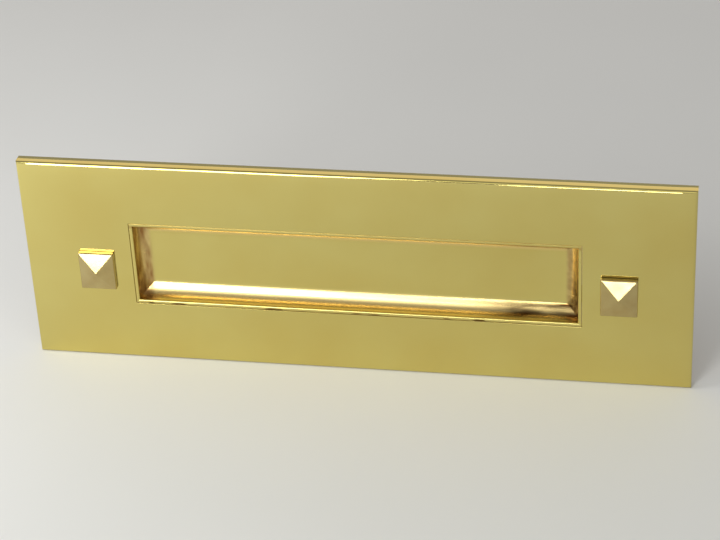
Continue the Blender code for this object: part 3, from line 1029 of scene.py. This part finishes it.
    def clip(self, side: Side) -> Object:
        """Make an open spring clip that grips the rod's end.

        Args:
            side: The end that it belongs to.

        Returns:
            The clip.
        """
        inner_x = self.bracket_x[0] + self.ear + self.play
        outer_x = inner_x + self.clip_sheet
        bm = bmesh.new()
        half_mouth = math.asin(self.clip_mouth / 2 / self.clip_radius)
        corners = [(inner_x, self.bore), (inner_x, self.clip_radius)]
        corners += [(outer_x, self.clip_radius), (outer_x, self.bore)]
        points = [bm.verts.new((x, self.axis_y, self.axis_z + r)) for x, r in corners]
        section = bm.faces.new(points)
        centre = (0.0, self.axis_y, self.axis_z)
        turn = Matrix.Rotation(half_mouth, 3, "X")
        bmesh.ops.rotate(bm, cent=centre, matrix=turn, verts=points)
        bmesh.ops.spin(
            bm, geom=points + list(section.edges) + [section], cent=centre, axis=(1.0, 0.0, 0.0),
            angle=2 * math.pi - 2 * half_mouth, steps=40,
        )
        bmesh.ops.remove_doubles(bm, verts=bm.verts, dist=1e-7)
        bmesh.ops.recalc_face_normals(bm, faces=bm.faces)
        round_edges(bm, sharp_edge(50), 0.00012, 2)
        mirror_to(bm, side)
        node = f"rod_clip_{side.label}"
        return finish_piece(f"{node}_sprung", bm, Body.PLATE, [SPRING_WIRE], [node])

    def screws(self, side: Side) -> list[Object]:
        """Make the four screws of one side.

        Args:
            side: The end that it belongs to.

        Returns:
            The screws.
        """
        made = []
        for kind, body, seat_y, shank, places in (
            ("strap", Body.FLAP, self.strap_back, self.strap_shank, self.strap_screws),
            ("bracket", Body.PLATE, self.bracket_y[1], self.bracket_shank, self.bracket_screws),
        ):
            for number, (x, z, turn) in enumerate(places, start=1):
                place = (side.value * x, seat_y + self.play, z)
                node = f"{kind}_screw_{side.label}_{number}"
                made.append(self.screw.build(node, place, shank, body, turn * side.value))
        return made


@dataclass
class ClosingSpring:
    """A torsion spring round the rod, with a leg on the flap and a leg on the plate."""

    side: Side
    wire: float = 0.0005
    radius: float = 0.0032
    axis_y: float = 0.0046
    axis_z: float = 0.025
    inner_x: float = 0.086
    outer_x: float = 0.1
    turns: int = 5
    lift: float = math.radians(27.0)
    flap_leg: Span = (0.0044, 0.004)
    plate_leg_y: float = -0.0004

    def build(self) -> Object:
        """Make one spring.

        Returns:
            The spring.
        """
        bm = bmesh.new()
        start = Vector((self.inner_x, self.axis_y + self.radius, self.axis_z))
        ring = bmesh.ops.create_circle(
            bm, cap_ends=False, radius=self.wire, segments=12, matrix=Matrix.Translation(start)
        )["verts"]
        first = list({edge for vert in ring for edge in vert.link_edges})
        steps = 32 * self.turns
        turned_through = 2 * math.pi * self.turns + self.lift
        step = (self.outer_x - self.inner_x) / steps
        last = bmesh.ops.spin(
            bm, geom=ring + first, cent=(0.0, self.axis_y, self.axis_z), axis=(1.0, 0.0, 0.0),
            dvec=(step, 0.0, 0.0), angle=turned_through, steps=steps,
        )["geom_last"]
        edges = [item for item in last if isinstance(item, BMEdge)]
        leaving = sum((v.co for v in last if isinstance(v, BMVert)), Vector()) / len(ring)
        reach = (leaving.y - self.plate_leg_y) / math.sin(self.lift)
        self.draw_leg(bm, edges, Vector((0.0, -math.sin(self.lift), math.cos(self.lift))) * reach)
        open_end = [e for e in bm.edges if len(e.link_faces) == 1 and all(v in ring for v in e.verts)]
        foot = Vector((self.inner_x, self.flap_leg[0], self.flap_leg[1]))
        self.draw_leg(bm, open_end, foot - start)
        bmesh.ops.holes_fill(bm, edges=[e for e in bm.edges if len(e.link_faces) == 1], sides=0)
        mirror_to(bm, self.side)
        node = f"flap_spring_{self.side.label}"
        spring = finish_piece(f"{node}_wound", bm, None, [SPRING_WIRE], [node], 50.0)
        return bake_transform(spring)

    @staticmethod
    def draw_leg(bm: BMesh, ring: list[BMEdge], run: Vector) -> None:
        """Draw the wire's open end out along a straight run."""
        push(bm, bmesh.ops.extrude_edge_only(bm, edges=ring)["geom"], run)


@dataclass
class Buffer:
    """A rubber pad that one of the flap's lugs closes on."""

    side: Side
    radius: float = 0.0032
    place_x: float = 0.1073
    place_z: float = -0.01
    low_y: float = -0.0009
    high_y: float = 0.0029

    def build(self) -> Object:
        """Make one round-edged pad.

        Returns:
            The pad.
        """
        bm = bmesh.new()
        x = self.side.value * self.place_x
        add_rod(bm, self.radius, (x, self.low_y, self.place_z), (x, self.high_y, self.place_z))
        round_edges(bm, sharp_edge(60), 0.0006, 5)
        node = f"buffer_pad_{self.side.label}"
        return finish_piece(f"{node}_moulded", bm, Body.PLATE, [RUBBER], [node])


@dataclass
class Fixing:
    """A pyramid head on a threaded stud, with its washer and nut on the door's inner face."""

    side: Side
    place_x: float = 0.1195
    place_z: float = -0.0038
    base_y: float = -0.0063
    head_width: float = 0.0166
    head_height: float = 0.019
    skirt: float = 0.002
    peak: float = 0.0025
    # The rounding of the shoulder, and the shares of it that the other edges have.
    shoulder: float = 0.0007
    ridge_share: float = 0.3
    corner_share: float = 0.55
    socket: float = 0.0028
    stud_radius: float = 0.003
    stud_back: float = 0.056
    pitch: float = 0.001
    washer_radius: float = 0.009
    washer_y: Span = (0.0443, 0.0459)
    nut_y: Span = (0.0462, 0.0512)
    nut_flats: float = 0.01

    def build(self) -> list[Object]:
        """Return one fixing's pieces."""
        return [self.head(), self.stud(), self.washer(), self.nut()]

    def head(self) -> Object:
        """Make the square head: a low skirt, a soft shoulder and a shallow pyramid.

        Returns:
            The head.
        """
        x, z = self.side.value * self.place_x, self.place_z
        half_x, half_z = self.head_width / 2, self.head_height / 2
        skirt_y = self.base_y - self.skirt
        bm = bmesh.new()
        add_block(bm, (x - half_x, skirt_y, z - half_z), (x + half_x, self.base_y, z + half_z))
        front = [face for face in bm.faces if face.normal.y < -0.5]
        bmesh.ops.poke(bm, faces=front, offset=self.peak)
        node = f"pyramid_head_{self.side.label}"
        weight = bm.edges.layers.float.new("bevel_weight_edge")
        for edge in bm.edges:
            ys = [v.co.y for v in edge.verts]
            if max(ys) < skirt_y + TOUCH:
                edge[weight] = 1.0 if min(ys) > skirt_y - TOUCH else self.ridge_share
            elif min(ys) < skirt_y + TOUCH:
                edge[weight] = self.corner_share
        piece = finish_piece(f"{node}_soft_edged", bm, Body.PLATE, [HEAD_BRASS], [node])
        piece.data.set_sharp_from_angle(angle=math.radians(60.0))
        rounding = piece.modifiers.new("shoulder", "BEVEL")
        rounding.width = self.shoulder
        rounding.segments = 5
        rounding.limit_method = "WEIGHT"
        rounding.harden_normals = True
        return piece

    def stud(self) -> Object:
        """Make the stud: a chamfered core with a helical thread.

        Returns:
            The stud.
        """
        x, z = self.side.value * self.place_x, self.place_z
        start_y = self.base_y - self.socket + 0.0003
        core = self.stud_radius - 0.61 * self.pitch
        bm = bmesh.new()
        turned(
            bm,
            [
                (0.0, start_y), (core - 0.0002, start_y), (core, start_y + 0.0004),
                (core, self.stud_back - 0.0005), (core - 0.0005, self.stud_back), (0.0, self.stud_back),
            ],
            (x, 0.0, z), 32,
        )
        half = self.pitch / 2 - 0.00002
        centre = Vector((x, 0.0, z))
        first_y = start_y + self.pitch
        shape = [(core - 0.0001, -half), (self.stud_radius, -0.0001), (self.stud_radius, 0.0001)]
        shape.append((core - 0.0001, half))
        points = [bm.verts.new(centre + Vector((radius, first_y + y, 0.0))) for radius, y in shape]
        ridge = bm.faces.new(points)
        turns = math.floor((self.stud_back - 0.0008 - first_y - self.pitch) / self.pitch)
        steps = 28 * turns
        bmesh.ops.spin(
            bm, geom=points + list(ridge.edges) + [ridge], cent=centre, axis=(0.0, 1.0, 0.0),
            dvec=(0.0, turns * self.pitch / steps, 0.0), angle=-2 * math.pi * turns, steps=steps,
        )
        node = f"fixing_stud_{self.side.label}"
        return finish_piece(f"{node}_threaded", bm, Body.PLATE, [ZINC], [node])

    def washer(self) -> Object:
        """Make the stamped washer, rounded on one face.

        Returns:
            The washer.
        """
        low, high = self.washer_y
        bore, rim = self.stud_radius + 0.0003, self.washer_radius
        profile = [
            (bore, low), (rim - 0.0001, low), (rim, low + 0.0001), (rim, high - 0.0005),
            (rim - 0.0002, high - 0.0001), (rim - 0.0006, high), (bore + 0.0002, high),
            (bore, high - 0.0002), (bore, low),
        ]
        bm = bmesh.new()
        turned(bm, profile, (self.side.value * self.place_x, 0.0, self.place_z), 64)
        node = f"stud_washer_{self.side.label}"
        return finish_piece(f"{node}_stamped", bm, Body.PLATE, [ZINC], [node])

    def nut(self) -> Object:
        """Make the hexagon nut with chamfered corners and a countersunk bore.

        Returns:
            The nut.
        """
        low, high = self.nut_y
        x, z = self.side.value * self.place_x, self.place_z
        corner = self.nut_flats / 2 / math.cos(math.pi / 6)
        bm = bmesh.new()
        add_rod(bm, corner, (x, low, z), (x, high, z), 6)
        flat, fall = self.nut_flats / 2 - 0.0001, 0.0005
        outside = bmesh.new()
        profile = [
            (0.0, low), (flat, low), (corner + 0.0002, low + fall), (corner + 0.0002, high - fall),
            (flat, high), (0.0, high),
        ]
        turned(outside, profile, (x, 0.0, z), 64)
        bm = cut_mesh(bm, outside, Cut.KEEP_INSIDE)
        bore = self.stud_radius + 0.00005
        inside = bmesh.new()
        beyond = 0.0005
        profile = [
            (0.0, low - beyond), (bore + 0.0004 + beyond, low - beyond), (bore, low + 0.0004),
            (bore, high - 0.0004), (bore + 0.0004 + beyond, high + beyond), (0.0, high + beyond),
        ]
        turned(inside, profile, (x, 0.0, z), 48)
        bm = cut_mesh(bm, inside)
        node = f"stud_nut_{self.side.label}"
        return finish_piece(f"{node}_chamfered", bm, Body.PLATE, [ZINC], [node])


# ---------------------------------------------------------------- floor, light and camera


@dataclass
class Studio:
    """A pale floor, soft panels and the camera."""

    floor_z: float = -0.0512
    floor_half: float = 4.0
    air: float = 0.37
    camera_place: Point = (0.1762, -0.8643, 0.5397)
    camera_target: Point = (0.0032, -0.006, 0.0030)
    camera_roll: float = -3.06
    lens: float = 114.13

    def build(self) -> None:
        """Lay the floor, hang the lights and set the camera."""
        self.lay_floor()
        self.fill_air()
        # Tall window-like panel at the front left: the white band along the recess.
        self.panel("panel_front_left", (-0.52, -1.5, 0.6), (0.0, 0.0, 0.0), (0.5, 1.3), 6.5)
        # Wide panel above the camera.
        self.panel("panel_above", (0.0, -1.35, 1.5), (0.0, 0.0, 0.0), (3.0, 0.8), 0.85)
        # Close lamp at the left that makes the floor brighter there.
        self.panel("panel_left", (-0.57, -0.18, 0.27), (-0.16, -0.1, -0.05), (0.25, 0.25), 8.5)
        # Low panels that whiten the upper facets of the two heads.
        self.panel("panel_low_left", (-0.62, -1.45, 0.06), (-0.12, 0.0, 0.0), (0.28, 0.2), 14.0)
        self.panel("panel_low_right", (0.03, -1.45, 0.06), (0.12, 0.0, 0.0), (0.22, 0.2), 14.0)
        # Warm panel behind, mirrored in the plate's top edge.
        self.panel("panel_behind", (-0.3, 1.5, 0.95), (0.0, 0.0, 0.0), (2.4, 0.7), 0.62, (1.0, 0.8, 0.66))
        self.set_camera()

    def lay_floor(self) -> None:
        """Lay one large square of floor under the plate."""
        bm = bmesh.new()
        matrix = Matrix.Translation((0.0, 0.0, self.floor_z))
        bmesh.ops.create_grid(bm, x_segments=1, y_segments=1, size=self.floor_half, matrix=matrix)
        mesh = bpy.data.meshes.new("floor")
        bm.to_mesh(mesh)
        bm.free()
        mesh.materials.append(FLOOR.material())
        floor = bpy.data.objects.new("floor", mesh)
        bpy.context.scene.collection.objects.link(floor)

    def fill_air(self) -> None:
        """Fill the room with an even, dim light."""
        world = bpy.data.worlds.new("studio_air")
        world.use_nodes = True
        background = world.node_tree.nodes["Background"]
        background.inputs["Color"].default_value = (1.0, 1.0, 0.99, 1.0)
        background.inputs["Strength"].default_value = self.air
        bpy.context.scene.world = world

    @staticmethod
    def panel(
        name: str, place: Point, aim: Point, size: Span, glow: float,
        tint: tuple[float, float, float] = (1.0, 0.995, 0.98),
    ) -> None:
        """Hang one soft panel.

        Args:
            name: The light's name.
            place: The panel's centre.
            aim: The point that it faces.
            size: Its width and height.
            glow: How bright its surface looks.
            tint: Its colour, linear.
        """
        light = bpy.data.lights.new(name, "AREA")
        light.shape = "RECTANGLE"
        light.size, light.size_y = size
        light.energy = glow * math.pi * size[0] * size[1]
        light.color = tint
        lamp = bpy.data.objects.new(name, light)
        place = Vector(place)
        lamp.rotation_euler = (Vector(aim) - place).to_track_quat("-Z", "Y").to_euler()
        lamp.location = place
        lamp.visible_camera = False
        bpy.context.scene.collection.objects.link(lamp)

    def set_camera(self) -> None:
        """Aim the camera down at the plate from the right."""
        data = bpy.data.cameras.new("camera")
        data.lens = self.lens
        data.sensor_width = 36.0
        camera = bpy.data.objects.new("camera", data)
        place = Vector(self.camera_place)
        turn = (Vector(self.camera_target) - place).to_track_quat("-Z", "Y")
        turn = turn @ Quaternion((0.0, 0.0, 1.0), math.radians(self.camera_roll))
        camera.rotation_euler = turn.to_euler()
        camera.location = place
        bpy.context.scene.collection.objects.link(camera)
        bpy.context.scene.camera = camera
        bpy.context.scene.view_settings.view_transform = "Standard"


def main() -> None:
    """Build the letter plate, then its floor, lights and camera."""
    logging.basicConfig(level=logging.INFO, format="%(name)s: %(message)s")
    pieces = [FrontPlate().build(), *RecessedFlap().build(), *Hinge().build()]
    for side in Side:
        pieces += [ClosingSpring(side).build(), Buffer(side).build(), *Fixing(side).build()]
    for piece in pieces:
        LOG.info("%s: %d faces", piece.name, len(piece.data.polygons))
    Studio().build()


if __name__ == "__main__":
    main()
